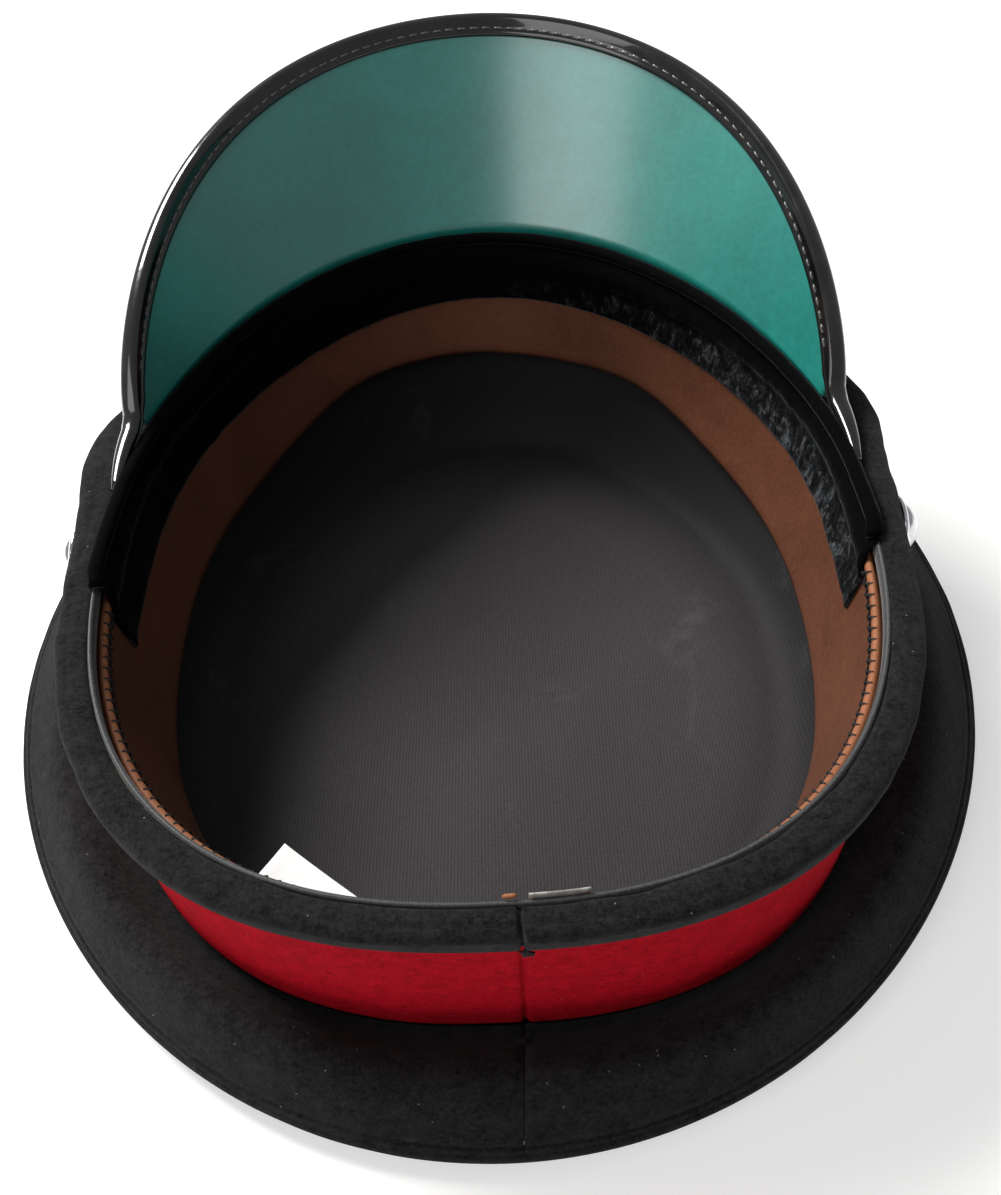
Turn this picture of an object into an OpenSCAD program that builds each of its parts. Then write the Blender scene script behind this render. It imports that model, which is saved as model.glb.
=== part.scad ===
// Military peaked cap, lying upside down on the top of its crown.
// The table is z = 0, the head opening faces up and the peak points along +Y.

/* [Head opening] */
// Width across the stiff band inside the cap
band_w = 176; // [155:1:205]
// Length of the stiff band from front to back
band_l = 208; // [180:1:240]
// How much the opening narrows towards the forehead
front_narrow = 0.12; // [0:0.01:0.2]
// How much the opening widens towards the back
rear_widen = 0.08; // [0:0.01:0.12]
// Height of the band from the rim to the crown seam
band_h = 46; // [34:1:56]
// Height of the rim above the table at the middle of the opening
rim_z = 66; // [60:1:90]
// Slope of the rim, front end higher, in degrees
rim_tilt = 3.5; // [0:0.25:6]
// How far the opening sits behind the middle of the crown
band_back = 10; // [4:0.5:16]

/* [Crown] */
// Width of the crown at its edge
crown_w = 245; // [225:1:290]
// Length of the crown at its edge
crown_l = 269; // [250:1:320]
// Height of the crown's edge above the table at front and back
edge_z = 5; // [4:0.5:9]
// Extra height of the crown's edge at the two sides
edge_saddle = 5.5; // [0:0.5:10]
// Fullness of the crown's side cloth
side_puff = 7; // [1:0.5:9]

/* [Peak] */
// Depth of the peak at its middle
peak_depth = 56.5; // [45:1:75]
// Slope of the peak at its middle, in degrees
peak_slope = 57; // [40:1:65]
// Slope of the peak at its two ends, in degrees
peak_end_slope = 89; // [75:1:90]
// Angle along the band at which each end of the peak starts, in degrees
peak_start = 9.5; // [5:0.5:25]

/* [Materials] */
// Thickness of the wool cloth
cloth = 1.8; // [1:0.1:2.5]
// Thickness of the stiff board in the band
board = 2; // [1.4:0.1:3]
// Thickness of the sweatband leather
leather = 1.3; // [0.8:0.1:1.8]
// Thickness of each of the three layers of the peak
peak_layer = 0.9; // [0.6:0.1:1.2]
// Radius of the spring wire in the crown's edge
wire_r = 0.9; // [0.6:0.1:1.2]

/* [Chin strap] */
// Width of the strap
strap_w = 12; // [9:0.5:14]
// Thickness of each strap
strap_t = 1.6; // [1.2:0.1:2]
// Radius of the strap's bend over the forehead
strap_bend = 72; // [66:1:76]
// Diameter of the side buttons
button_d = 15; // [11:0.5:17]
// Radius of the button's pin
pin_r = 1.5; // [1:0.1:2]

/* [Hidden] */

// Angular step of the lofted rings, and the facets of the turned parts
step = 6;
$fn = 48;

// Clear gap between pieces that are laid side by side
gap = 0.3;
// Squareness of the back of the opening: 2 is an ellipse
rear_square = 2.36;

// Offsets of the wall's layers, measured outwards from the outside of the board
cloth_out = cloth;
strip_out = cloth_out + 2.6;
strip_in = -board + 0.1;
strip_h = 5;
strip_cap = 2.6;
sweat_top = -board - gap;
sweat_lean = 6;
sweat_h = 37;
sweat_z = -6;

// Strap: where it lies on the band, and the two arcs that each half follows
strap_z = -strip_h - 1.4 - strap_w / 2;
strap_front_y = band_l / 2 + cloth_out + 2.6;
strap_side_x = band_w / 2 + cloth_out + 3;
strap_turn = 68;
front_arc_y = strap_front_y - strap_bend;
side_arc_r = (strap_side_x - strap_bend * cos(strap_turn)) / (1 - cos(strap_turn));
side_arc_x = strap_side_x - side_arc_r;
side_arc_y = front_arc_y + (strap_bend - side_arc_r) * sin(strap_turn);
strap_tab = 12.5;
button_y = side_arc_y - strap_tab;
strap_overlap = 20;
layer_gap = 0.1;
keeper_at = 14;
keeper_span = 4;
keeper_wall = 0.8;
keeper_clear = 0.15;
bore_clear = 0.05;

// Spring wire and welt in the crown's edge
welt_r = 1.7;
wire_in = 6;
lining_t = 0.8;
pad_t = 2.4;

function flat(rings) = [for (ring = rings) each ring];
function signed_pow(v, e) = sign(v) * pow(abs(v), e);

// A point of the head opening's outline at angle t, moved outwards by d
function oval(t, d) =
    let (
        e = sin(t) > 0 ? 1 : 2 / rear_square,
        y = (band_l / 2 + d) * signed_pow(sin(t), e),
        q = pow(2 * y / band_l, 2)
    )
    [(band_w / 2 + d) * signed_pow(cos(t), e) * (1 + (y > 0 ? -front_narrow : rear_widen) * q), y];

// Outward direction of the outline at angle t
function oval_out(t) =
    let (a = oval(t - 0.5, 0), b = oval(t + 0.5, 0), l = norm(b - a)) [(b.y - a.y) / l, (a.x - b.x) / l];

// The band's own frame has z = 0 at the rim, and tilts about the width
function stand(p) = [
    p.x,
    p.y * cos(rim_tilt) - p.z * sin(rim_tilt) - band_back,
    p.y * sin(rim_tilt) + p.z * cos(rim_tilt) + rim_z
];
module in_band() {
    translate([0, -band_back, rim_z]) rotate([rim_tilt, 0, 0]) children();
}

// A solid through a row of rings, each a closed loop with the same number of points. In a sheet
// the second half of each loop runs back, and its triangles are cut the other way, so that the
// two faces of a thin sheet, and the faces of two stacked sheets, match.
module loft(rings, closed = false, sheet = false) {
    n = len(rings);
    m = len(rings[0]);
    sides = [
        for (i = [0 : n - (closed ? 1 : 2)], k = [0 : m - 1])
            let (j = (i + 1) % n, l = (k + 1) % m, a = i * m + k, b = i * m + l, c = j * m + l, d = j * m + k)
            each sheet && k >= m / 2 ? [[a, b, d], [b, c, d]] : [[a, b, c], [a, c, d]]
    ];
    caps = closed ? [] : [[for (k = [m - 1 : -1 : 0]) k], [for (k = [0 : m - 1]) (n - 1) * m + k]];
    polyhedron(points = flat(rings), faces = concat(sides, caps), convexity = 8);
}

// A wall that follows the outline: its section lists [offset, height] points
function wall_ring(t, section) = [for (s = section) let (p = oval(t, s[0])) stand([p.x, p.y, s[1]])];
function round_section(d, z, r, sides) =
    [for (k = [0 : sides - 1]) [d + r * cos(360 * k / sides), z + r * sin(360 * k / sides)]];

// Edge of the crown at angle t, moved outwards by d and up by z
function edge(t, d = 0, z = 0) =
    [(crown_w / 2 + d) * cos(t), (crown_l / 2 + d) * sin(t), edge_z + edge_saddle * pow(cos(t), 2) + z];

// The crown's side cloth: s runs from the band seam to the edge, depth is measured inwards
function side_point(t, s, depth) =
    let (
        top = wall_ring(t, [[cloth_out - depth * 0.8, -band_h - gap - depth * 0.6]])[0],
        low = edge(t, -2.2 - depth * 0.6, 2.2 - depth * 0.8),
        lift = side_puff * sin(180 * s) - depth * 0.35 * sin(180 * s)
    )
    top * (1 - s) + low * s + [0, 0, lift];
function side_section(t, s0, s1, outer, inner) =
    let (rows = 6) concat(
        [for (k = [0 : rows]) side_point(t, s0 + (s1 - s0) * k / rows, inner)],
        [for (k = [rows : -1 : 0]) side_point(t, s0 + (s1 - s0) * k / rows, outer)]
    );

module crown_top() {
    levels = [[0.06, 0, 0], [0.5, 0, 0], [0.86, 0, 0], [1, -3.2, -2.6], [1, -3.6, -0.9], [0.86, 0, cloth], [0.06, 0, cloth]];
    color([0.13, 0.13, 0.14]) loft([
        for (v = levels) [
            for (t = [360 - step : -step : 0])
                v[0] < 1 ? [v[0] * edge(t).x, v[0] * edge(t).y, v[2]] : edge(t, v[1], v[2])
        ]
    ]);
}

module crown_side(first) {
    seam_gap = 0.15;
    color([0.14, 0.14, 0.15]) loft([
        for (t = [first : step : first + 180])
            side_section(min(max(t, first + seam_gap), first + 180 - seam_gap), 0, 1, 0, cloth)
    ]);
}
module crown_side_left() { crown_side(90); }
module crown_side_right() { crown_side(-90); }

module crown_welt() {
    color([0.1, 0.1, 0.11])
        loft([for (t = [0 : step : 359]) [for (s = round_section(0, 0, welt_r, 8)) edge(t, s[0], s[1])]], true);
}

module crown_wire() {
    color([0.55, 0.55, 0.58])
        loft([for (t = [0 : step : 359]) [for (s = round_section(-wire_in, 0.6, wire_r, 6)) edge(t, s[0], s[1])]], true);
}

module crown_padding() {
    inset = 0.8;
    color([0.8, 0.78, 0.72]) translate([0, 0, cloth]) linear_extrude(pad_t)
        polygon([for (t = [0 : step : 359]) inset * [edge(t).x, edge(t).y]]);
}

// The lining is a thin cup that hangs from the band inside the crown
module crown_lining() {
    floor_z = cloth + pad_t;
    function cup(t, depth) = [
        wall_ring(t, [[-board - gap - lining_t + depth, -band_h + 1]])[0],
        side_point(t, 0, cloth + 3.4 - depth),
        side_point(t, 0.35, cloth + 3.4 - depth),
        side_point(t, 0.72, cloth + 3.4 - depth),
        [0.84 * edge(t).x, 0.84 * edge(t).y, floor_z + lining_t - depth],
        [0.4 * edge(t).x, 0.4 * edge(t).y, floor_z + lining_t - depth],
        [0.06 * edge(t).x, 0.06 * edge(t).y, floor_z + lining_t - depth]
    ];
    inner = [for (t = [0 : step : 359]) cup(t, 0)];
    outer = [for (t = [0 : step : 359]) cup(t, lining_t)];
    rows = len(inner[0]);
    color([0.2, 0.19, 0.2]) loft(concat(
        [for (j = [rows - 1 : -1 : 0]) [for (c = inner) c[j]]],
        [for (j = [0 : rows - 1]) [for (c = outer) c[j]]]
    ));
}

// Upright stay that holds the front of the crown up
module front_stiffener() {
    color([0.85, 0.83, 0.76])
        loft([for (t = [70 : 4 : 110]) side_section(t, 0.08, 0.8, cloth + 0.4, cloth + 1.6)]);
}

module band_ring(outer, inner, low, high) {
    translate([0, 0, low]) linear_extrude(high - low) difference() {
        polygon([for (t = [0 : step : 359]) oval(t, outer)]);
        polygon([for (t = [0 : step : 359]) oval(t, inner)]);
    }
}
module pin_bores(r) {
    translate([0, button_y, strap_z]) rotate([0, 90, 0]) cylinder(r = r, h = 2 * band_w, center = true);
}

module band_core() {
    color([0.75, 0.7, 0.6]) in_band() difference() {
        band_ring(0, -board, -band_h, -strip_cap);
        pin_bores(pin_r + bore_clear);
    }
}

module red_band() {
    color([0.7, 0.1, 0.16]) in_band() difference() {
        band_ring(cloth_out, 0, -band_h, -strip_cap);
        pin_bores(pin_r + bore_clear);
    }
}

// Folded felt edge that caps the rim and covers the lower part of the red cloth
module rim_strip() {
    section = [
        [strip_out, -strip_h], [strip_out, -1.6], [strip_out - 0.9, -0.4], [strip_out - 2.2, 0],
        [strip_in + 1.4, 0], [strip_in, -1], [strip_in, -strip_cap], [cloth_out, -strip_cap], [cloth_out, -strip_h]
    ];
    color([0.12, 0.12, 0.13]) loft([for (t = [0 : step : 359]) wall_ring(t, section)], true);
}

module rim_tape() {
    face = -board - 0.05;
    section = [[face, -3.6], [face, -0.8], [face - 0.7, -0.5], [face - 1.05, -1.4], [face - 0.9, -3.6]];
    color([0.35, 0.35, 0.37]) loft([for (t = [0 : step : 359]) wall_ring(t, section)], true);
}

function sweat_offset(z) = sweat_top - sweat_lean * (sweat_z - z) / sweat_h;
module sweatband() {
    low = sweat_z - sweat_h;
    section = [
        [sweat_top, sweat_z], [sweat_offset(-18), -18], [sweat_offset(-30), -30], [sweat_offset(low), low],
        [sweat_offset(low) - leather, low], [sweat_offset(-30) - leather, -30],
        [sweat_offset(-18) - leather, -18], [sweat_top - leather, sweat_z]
    ];
    color([0.35, 0.2, 0.13])
        loft([for (t = [0 : step : 359]) wall_ring(t, [for (k = [7 : -1 : 0]) section[k]])], true);
}

module sweatband_reed() {
    reed_r = 0.95;
    color([0.72, 0.38, 0.2])
        loft([for (t = [0 : step : 359])
            wall_ring(t, round_section(sweat_top - 1.6, sweat_z + reed_r + 0.1, reed_r, 6))], true);
}

// Pile strip folded over the forehead part of the sweatband
module velvet_shield() {
    deep = 14;
    far = sweat_offset(sweat_z - deep) - leather - 0.1;
    near = sweat_top - leather - 0.1;
    section = [[near, sweat_z - 0.4], [far, sweat_z - deep], [far - 1, sweat_z - deep], [near - 1, sweat_z - 0.4]];
    color([0.05, 0.05, 0.06])
        loft([for (t = [-2 * step : step : 180 + 2 * step]) wall_ring(t, [for (k = [3 : -1 : 0]) section[k]])]);
}

module velvet_bead() {
    bead_r = 1.3;
    color([0.06, 0.06, 0.07])
        loft([for (t = [-step : step : 180 + step]) wall_ring(t, round_section(-board + 0.4, bead_r + 0.05, bead_r, 8))]);
}

// The peak: u runs along the rim from end to end, s from the rim to the edge,
// and h lifts the point off the middle of the three layers, towards the wearer
peak_reach = 180 - 2 * peak_start;
peak_foot = 1.5 * peak_layer + 0.3;
peak_root = 1.5 * peak_layer - 0.15;
function peak_angle(u) = peak_start + peak_reach * u;
function peak_deep(u) = peak_depth * pow(sin(180 * u), 0.7);
function peak_slant(u) = peak_end_slope + (peak_slope - peak_end_slope) * sin(180 * u);
function peak_point(u, s, h) =
    let (
        t = peak_angle(u), base = oval(t, peak_root), out = oval_out(t), a = peak_slant(u),
        along = s * peak_deep(u), r = along * cos(a) - h * sin(a), z = along * sin(a) + h * cos(a)
    )
    stand([base.x + out.x * r, base.y + out.y * r, peak_foot + z]);
peak_stations = [for (k = [0 : 40]) 0.015 + 0.97 * k / 40];
module peak_sheet(low, high) {
    rows = 5;
    loft([
        for (u = peak_stations) concat(
            [for (k = [0 : rows]) peak_point(u, k / rows, low)],
            [for (k = [rows : -1 : 0]) peak_point(u, k / rows, high)]
        )
    ], sheet = true);
}
module peak_core() { color([0.6, 0.52, 0.4]) peak_sheet(-peak_layer / 2, peak_layer / 2); }
module peak_skin() { color([0.05, 0.05, 0.05]) peak_sheet(-1.5 * peak_layer, -peak_layer / 2); }
module peak_lining() { color([0.12, 0.42, 0.36]) peak_sheet(peak_layer / 2, 1.5 * peak_layer); }

// Patent binding folded round the edge of the peak
module peak_binding() {
    half = 1.5 * peak_layer;
    wall = 0.8;
    lip = 3.6;
    function lip_at(u) = min(lip, peak_deep(u) * 0.45);
    function spot(u, along, h) = peak_point(u, 1 + along / peak_deep(u), h);
    color([0.04, 0.04, 0.04]) loft([
        for (u = [for (v = peak_stations) if (v > 0.03 && v < 0.97) v]) [
            spot(u, 0.1, half + 0.05), spot(u, 0.1, -half - 0.05), spot(u, -lip_at(u), -half - 0.05),
            spot(u, -lip_at(u), -half - wall), spot(u, 0.6, -half - wall), spot(u, 1.7, -half * 0.6),
            spot(u, 2, 0), spot(u, 1.7, half * 0.6), spot(u, 0.6, half + wall),
            spot(u, -lip_at(u), half + wall), spot(u, -lip_at(u), half + 0.05)
        ]
    ]);
}

// Side buttons: a hollow dome on a flat back, outside the strap
button_x = strap_side_x + strap_t + gap;
module at_button(side) {
    in_band() translate([side * button_x, button_y, strap_z]) rotate([0, 90 * side, 0]) children();
}
module side_button(side) {
    dome_h = 4.6;
    r = button_d / 2;
    ball = (r * r + dome_h * dome_h) / (2 * dome_h);
    color([0.8, 0.8, 0.82]) at_button(side) difference() {
        union() {
            intersection() {
                translate([0, 0, dome_h + 0.8 - ball]) sphere(ball);
                translate([0, 0, 0.8]) cylinder(r = r, h = dome_h);
            }
            cylinder(r = r, h = 0.8);
        }
        translate([0, 0, 0.8]) cylinder(r1 = r * 0.62, r2 = r * 0.2, h = dome_h * 0.6);
        translate([0, 0, -1]) cylinder(r = pin_r, h = 3);
    }
}
module side_button_left() { side_button(-1); }
module side_button_right() { side_button(1); }

// Split pin: it passes through the strap, the cloth and the board, and its legs are bent flat
module button_pin(side) {
    reach = button_x - band_w / 2 + board + gap;
    leg = 5;
    color([0.72, 0.6, 0.32]) at_button(side) union() {
        translate([0, 0, -reach]) cylinder(r = pin_r, h = reach + 0.8);
        for (turn = [0, 180]) rotate([0, 0, turn])
            translate([-pin_r * 0.7, 0, -reach - 0.6]) cube([pin_r * 1.4, leg, 0.7]);
    }
}
module button_pin_left() { button_pin(-1); }
module button_pin_right() { button_pin(1); }

// Chin strap: each half is bored for its button's pin and runs past the middle of the forehead.
// The right half rises over the left one before they meet.
function strap_line(layer, out) =
    let (lift = layer * (strap_t + layer_gap), rise = 25, steps = 15)
    concat(
        [[strap_side_x + out, button_y]],
        [
            for (a = [0 : 5 : strap_turn])
                let (r = side_arc_r + out + lift * max(0, 1 - (strap_turn - a) / rise))
                [side_arc_x + r * cos(a), side_arc_y + r * sin(a)]
        ],
        [
            for (k = [1 : steps])
                let (a = strap_turn + (90 + strap_overlap - strap_turn) * k / steps, r = strap_bend + out + lift)
                [r * cos(a), front_arc_y + r * sin(a)]
        ]
    );
module strap_half(layer) {
    inner = strap_line(layer, 0);
    outer = strap_line(layer, strap_t);
    difference() {
        union() {
            translate([0, 0, strap_z - strap_w / 2]) linear_extrude(strap_w)
                polygon(concat(outer, [for (k = [len(inner) - 1 : -1 : 0]) inner[k]]));
            translate([strap_side_x, button_y, strap_z]) rotate([0, 90, 0]) cylinder(d = strap_w - 0.2, h = strap_t);
        }
        pin_bores(pin_r + bore_clear);
    }
}
module strap_right() { color([0.07, 0.07, 0.07]) in_band() strap_half(1); }
module strap_left() { color([0.08, 0.08, 0.08]) in_band() mirror([1, 0, 0]) strap_half(0); }

// Keepers: closed loops that slide along both layers of the strap
module keeper(middle) {
    inner_r = strap_bend - keeper_clear;
    deep = 2 * strap_t + layer_gap + 2 * keeper_clear;
    high = strap_w + 2 * keeper_clear;
    color([0.05, 0.05, 0.05]) in_band() translate([0, front_arc_y, strap_z]) rotate([0, 0, middle - keeper_span / 2])
        rotate_extrude(angle = keeper_span) difference() {
            translate([inner_r - keeper_wall, -high / 2 - keeper_wall])
                square([deep + 2 * keeper_wall, high + 2 * keeper_wall]);
            translate([inner_r, -high / 2]) square([deep, high]);
        }
}
module keeper_left() { keeper(90 + keeper_at); }
module keeper_right() { keeper(90 - keeper_at); }

// Blank ticket stuck to the back of the sweatband, with its front corner standing clear
module paper_tag() {
    color([0.95, 0.95, 0.93]) translate([-43.8, -81.1, 30]) rotate([4, 4, -37])
        translate([0, -8, 0]) cube([19, 8, 0.4]);
}

crown_top();
crown_side_left();
crown_side_right();
crown_welt();
crown_wire();
crown_padding();
crown_lining();
front_stiffener();
band_core();
red_band();
rim_strip();
rim_tape();
sweatband();
sweatband_reed();
velvet_shield();
velvet_bead();
peak_core();
peak_skin();
peak_lining();
peak_binding();
side_button_left();
side_button_right();
button_pin_left();
button_pin_right();
strap_left();
strap_right();
keeper_left();
keeper_right();
paper_tag();
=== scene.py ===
import math
import random

import bpy
from mathutils import Matrix, Vector, noise


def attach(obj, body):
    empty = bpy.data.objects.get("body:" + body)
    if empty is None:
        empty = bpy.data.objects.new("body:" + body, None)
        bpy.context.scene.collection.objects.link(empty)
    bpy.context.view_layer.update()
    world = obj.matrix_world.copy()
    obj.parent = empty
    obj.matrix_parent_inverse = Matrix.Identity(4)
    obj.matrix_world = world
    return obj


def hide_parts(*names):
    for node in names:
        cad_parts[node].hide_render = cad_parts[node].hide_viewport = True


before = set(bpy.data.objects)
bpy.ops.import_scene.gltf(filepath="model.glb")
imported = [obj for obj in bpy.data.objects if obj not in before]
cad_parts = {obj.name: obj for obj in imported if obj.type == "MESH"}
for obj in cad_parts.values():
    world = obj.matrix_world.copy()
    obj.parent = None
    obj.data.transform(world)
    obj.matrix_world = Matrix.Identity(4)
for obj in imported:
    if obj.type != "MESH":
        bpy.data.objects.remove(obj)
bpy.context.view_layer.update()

# Crown top: a disc of black wool, cut a little larger than the crown and
# turned up all round into the edge seam. The cap lies on it.
MM = 0.001
crown_w, crown_l = 245.0, 269.0
edge_z, edge_saddle = 5.0, 5.5
cloth = 1.8


def cosd(a):
    return math.cos(math.radians(a))


def sind(a):
    return math.sin(math.radians(a))


def crown_edge(t, out=0.0, up=0.0):
    return Vector((
        (crown_w / 2 + out) * cosd(t),
        (crown_l / 2 + out) * sind(t),
        edge_z + edge_saddle * cosd(t) ** 2 + up,
    ))


def ripple(point, pitch, depth, seed=0):
    """A soft unevenness with bumps about a pitch apart, in millimetres."""
    return depth * noise.noise(Vector(point) / pitch + Vector((seed * 7.3, seed * 3.1, seed * 1.7)))


def loft(name, rings, around=False, fan=False):
    """A closed skin through a row of rings.

    around joins the last ring to the first, fan closes the ends to a point."""
    count, size = len(rings), len(rings[0])
    points = [Vector(p) * MM for ring in rings for p in ring]
    faces = []
    for i in range(count if around else count - 1):
        j = (i + 1) % count
        for k in range(size):
            m = (k + 1) % size
            faces.append((i * size + k, i * size + m, j * size + m, j * size + k))
    if not around:
        for ring, turn in ((0, -1), (count - 1, 1)):
            rim = [ring * size + k for k in range(size)][::turn]
            if fan:
                points.append(sum((points[k] for k in rim), Vector()) / size)
                faces += [(rim[k], rim[(k + 1) % size], len(points) - 1) for k in range(size)]
            else:
                faces.append(tuple(rim))
    mesh = bpy.data.meshes.new(name)
    mesh.from_pydata([tuple(p) for p in points], [], faces)
    mesh.validate()
    mesh.update()
    piece = bpy.data.objects.new(name, mesh)
    bpy.context.scene.collection.objects.link(piece)
    outward(piece)
    mesh.polygons.foreach_set("use_smooth", [True] * len(mesh.polygons))
    return piece


def outward(piece):
    """Turns a closed skin the right way out."""
    mesh = piece.data
    volume = 0.0
    for f in mesh.polygons:
        a = mesh.vertices[f.vertices[0]].co
        for k in range(1, len(f.vertices) - 1):
            b, c = mesh.vertices[f.vertices[k]].co, mesh.vertices[f.vertices[k + 1]].co
            volume += a.dot(b.cross(c))
    if volume < 0:
        mesh.flip_normals()


class Finish:
    """A material built up from grain, tint and relief."""

    def __init__(self, name, **sockets):
        self.material = bpy.data.materials.new(name)
        self.material.use_nodes = True
        self.tree = self.material.node_tree
        self.shader = self.tree.nodes["Principled BSDF"]
        for socket, value in sockets.items():
            self.shader.inputs[socket.replace("_", " ")].default_value = value
        self.height = None

    def node(self, kind, **values):
        made = self.tree.nodes.new(kind)
        for key, value in values.items():
            setattr(made, key, value)
        return made

    def link(self, a, b):
        self.tree.links.new(a, b)

    def place(self, stretch=(1, 1, 1), turn=(0, 0, 0)):
        where = self.node("ShaderNodeTexCoord")
        laid = self.node("ShaderNodeMapping")
        laid.inputs["Scale"].default_value = stretch
        laid.inputs["Rotation"].default_value = [math.radians(a) for a in turn]
        self.link(where.outputs["Object"], laid.inputs["Vector"])
        return laid.outputs["Vector"]

    def grain(self, per_metre, detail=4, rough=0.6, stretch=(1, 1, 1), turn=(0, 0, 0), warp=0.0):
        made = self.node("ShaderNodeTexNoise")
        made.inputs["Scale"].default_value = per_metre
        made.inputs["Detail"].default_value = detail
        made.inputs["Roughness"].default_value = rough
        made.inputs["Distortion"].default_value = warp
        self.link(self.place(stretch, turn), made.inputs["Vector"])
        return made.outputs["Fac"]

    def cells(self, per_metre, feature="F1", spread=1.0):
        made = self.node("ShaderNodeTexVoronoi", feature=feature)
        made.inputs["Scale"].default_value = per_metre
        made.inputs["Randomness"].default_value = spread
        self.link(self.place(), made.inputs["Vector"])
        return made

    def ribs(self, per_metre, direction="X", turn=(0, 0, 0), warp=0.0):
        made = self.node("ShaderNodeTexWave", wave_type="BANDS", bands_direction=direction)
        made.inputs["Scale"].default_value = per_metre
        made.inputs["Distortion"].default_value = warp
        made.inputs["Detail"].default_value = 2
        made.inputs["Detail Scale"].default_value = 2
        self.link(self.place(turn=turn), made.inputs["Vector"])
        return made.outputs["Fac"]

    def sums(self, how, a, b=None, c=None):
        made = self.node("ShaderNodeMath", operation=how)
        for socket, value in zip(made.inputs, (a, b, c)):
            if value is None:
                continue
            if isinstance(value, (int, float)):
                socket.default_value = value
            else:
                self.link(value, socket)
        return made.outputs[0]

    def times(self, a, b):
        return self.sums("MULTIPLY", a, b)

    def blend(self, a, gain, b):
        """a times gain, plus b."""
        return self.sums("MULTIPLY_ADD", a, gain, b)

    def ramp(self, factor, stops):
        made = self.node("ShaderNodeValToRGB")
        band = made.color_ramp
        while len(band.elements) < len(stops):
            band.elements.new(0.5)
        for element, (at, colour) in zip(band.elements, stops):
            element.position = at
            element.color = (*colour, 1)
        self.link(factor, made.inputs["Fac"])
        return made.outputs["Color"]

    def rise(self, factor, low, high):
        """From 0 to 1 while factor goes from low to high."""
        return self.ramp(factor, [(low, (0, 0, 0)), (high, (1, 1, 1))])

    def axes(self, turn=(0, 0, 0)):
        """The three coordinates of a point, in metres."""
        parts = self.node("ShaderNodeSeparateXYZ")
        self.link(self.place(turn=turn), parts.inputs["Vector"])
        return parts.outputs

    def slope(self, factor, gain, start):
        """A straight climb, held between 0 and 1."""
        line = self.blend(factor, gain, start)
        return self.sums("MINIMUM", self.sums("MAXIMUM", line, 0), 1)

    def over(self, base, top, factor):
        made = self.node("ShaderNodeMix", data_type="RGBA")
        self.link(factor, made.inputs["Factor"])
        self.link(base, made.inputs["A"])
        if isinstance(top, tuple):
            made.inputs["B"].default_value = (*top, 1)
        else:
            self.link(top, made.inputs["B"])
        return made.outputs["Result"]

    def tint(self, colour):
        self.link(colour, self.shader.inputs["Base Color"])
        return self

    def gloss(self, factor, low, high):
        spread = self.node("ShaderNodeMapRange")
        spread.inputs["To Min"].default_value = low
        spread.inputs["To Max"].default_value = high
        self.link(factor, spread.inputs["Value"])
        self.link(spread.outputs["Result"], self.shader.inputs["Roughness"])
        return self

    def relief(self, factor, millimetres, strength=1.0):
        bump = self.node("ShaderNodeBump")
        bump.inputs["Distance"].default_value = millimetres * MM
        bump.inputs["Strength"].default_value = strength
        self.link(factor, bump.inputs["Height"])
        if self.height is not None:
            self.link(self.height, bump.inputs["Normal"])
        self.height = bump.outputs["Normal"]
        self.link(self.height, self.shader.inputs["Normal"])
        return self


def wool_finish(name, deep, lit, lint, lint_share, sheen):
    """Fulled wool: matted fibres with no visible weave, a little nap, and stray lint."""
    made = Finish(name, Sheen_Weight=sheen, Sheen_Roughness=0.5, Roughness=0.95, Specular_IOR_Level=0.06)
    clumps = made.grain(260, 5, 0.65)
    fibres = made.grain(1500, 5, 0.75, stretch=(1, 0.5, 1), turn=(0, 0, 25), warp=0.8)
    strays = made.grain(1300, 4, 0.75, stretch=(0.45, 1, 0.8), turn=(20, 0, -35), warp=0.9)
    mat_of_fibres = made.blend(fibres, 0.5, made.times(strays, 0.5))
    shade = made.blend(clumps, 0.25, made.times(mat_of_fibres, 0.8))
    base = made.ramp(shade, [(0.42, deep), (0.62, lit)])
    spots = made.cells(330)
    rare = made.node("ShaderNodeSeparateColor")
    made.link(spots.outputs["Color"], rare.inputs["Color"])
    bits = made.times(
        made.sums("LESS_THAN", spots.outputs["Distance"], 0.06),
        made.sums("GREATER_THAN", rare.outputs["Red"], 1 - lint_share),
    )
    made.tint(made.over(base, lint, bits))
    made.relief(clumps, 0.12, 0.6).relief(mat_of_fibres, 0.35, 0.9)
    return made.material


black_wool = wool_finish(
    "black wool", (0.003, 0.0028, 0.0029), (0.021, 0.02, 0.0205), (0.13, 0.12, 0.12), 0.45, 0.05,
)


def dress(piece, finish, slot, body, *nodes):
    """Gives a piece its finish and its body, and says which plain solids it stands for. The slot is not used.
    """
    piece.data.materials.clear()
    piece.data.materials.append(finish)
    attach(piece, body)
    if nodes:
        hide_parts(*nodes)


around_crown = [float(t) for t in range(0, 360, 2)]
disc_rings = []
disc_shares = [0.01, 0.08, 0.2, 0.35, 0.5, 0.62, 0.74, 0.82, 0.87, 0.91, 0.94, 0.965, 0.985]


def disc_point(t, share, face):
    """The disc is flat on the table and curls up to the edge seam over its last part."""
    seam = crown_edge(t, -3.0, -2.7 if face == 0 else -0.9)
    x, y = seam.x * share, seam.y * share
    curl = max(0.0, (share - 0.80) / 0.20)
    low = seam.z * curl ** 1.9 + 0.05
    wave = abs(ripple((x, y, 0), 38, 0.5)) * (1 if face else 0)
    return Vector((x, y, low + (cloth + wave * 0.3 if face else 0) * (1 - 0.35 * curl)))


for share in disc_shares + [1.0]:
    disc_rings.append([disc_point(t, share, 0) for t in around_crown])
for share in [1.0] + disc_shares[::-1]:
    disc_rings.append([disc_point(t, share, 1) for t in around_crown])
crown_top = loft("crown_top_cloth", disc_rings, fan=True)
dress(crown_top, black_wool, "black_wool", "cap", "crown_top")

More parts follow.
